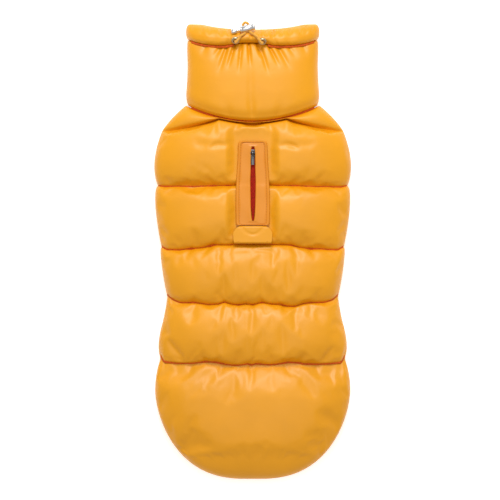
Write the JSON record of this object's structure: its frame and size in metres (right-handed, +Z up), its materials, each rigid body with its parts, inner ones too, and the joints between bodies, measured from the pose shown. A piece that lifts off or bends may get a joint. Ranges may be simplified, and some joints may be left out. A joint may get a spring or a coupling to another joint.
{
  "type": "dog winter coat",
  "caption": "Padded dog coat laid flat with its back up: quilted cross baffles, rounded tail, tall drawcord collar and a harness zip.",
  "frame": {"origin": "centre of the bounding box's lowest face, on the surface that the coat lies on", "axes": "+Z up from the surface; +Y towards the collar; +X to the right, seen from above with the collar at the top"},
  "size_m": [0.1972, 0.4564, 0.039],
  "materials": {
    "shell_nylon": "glossy coated nylon, padded, orange gold",
    "frame_nylon": "coated nylon, topstitched, slightly darker orange",
    "belly_nylon": "coated nylon, lightly padded, orange gold",
    "zip_tape": "woven zip tape and coil, dark red",
    "gunmetal": "dark plated zinc, lightly worn",
    "eyelet_brass": "pressed metal, antique brass",
    "drawcord": "braided elastic cord, orange",
    "polished_steel": "polished nickel-plated metal"
  },
  "bodies": {
    "coat": {"back_panel": "shell_nylon", "belly_panel": "belly_nylon", "collar": "shell_nylon", "collar_casing": "shell_nylon", "zip_frame": "frame_nylon", "zip_patch": "shell_nylon", "zip_tape": "zip_tape", "zip_chain": "zip_tape", "zip_slider": "gunmetal", "eyelet_left": "eyelet_brass", "eyelet_right": "eyelet_brass", "drawcord": "drawcord", "cord_lock_barrel": "polished_steel"},
    "zip_pull": {"zip_pull_tab": "gunmetal"},
    "lock_plunger": {"cord_lock_plunger": "polished_steel"}
  },
  "joints": [
    {"name": "zip_pull_swing", "type": "hinge", "parent": "coat", "child": "zip_pull", "pos_m": [0, 0.0975, 0.03727], "axis": [-1, 0, 0], "range_deg": [0, 120]},
    {"name": "lock_press", "type": "slide", "parent": "coat", "child": "lock_plunger", "axis": [0.9732, 0.23, 0], "range_m": [0, 0.0016], "stiffness_N_per_m": 400, "springref_m": -0.003}
  ]
}
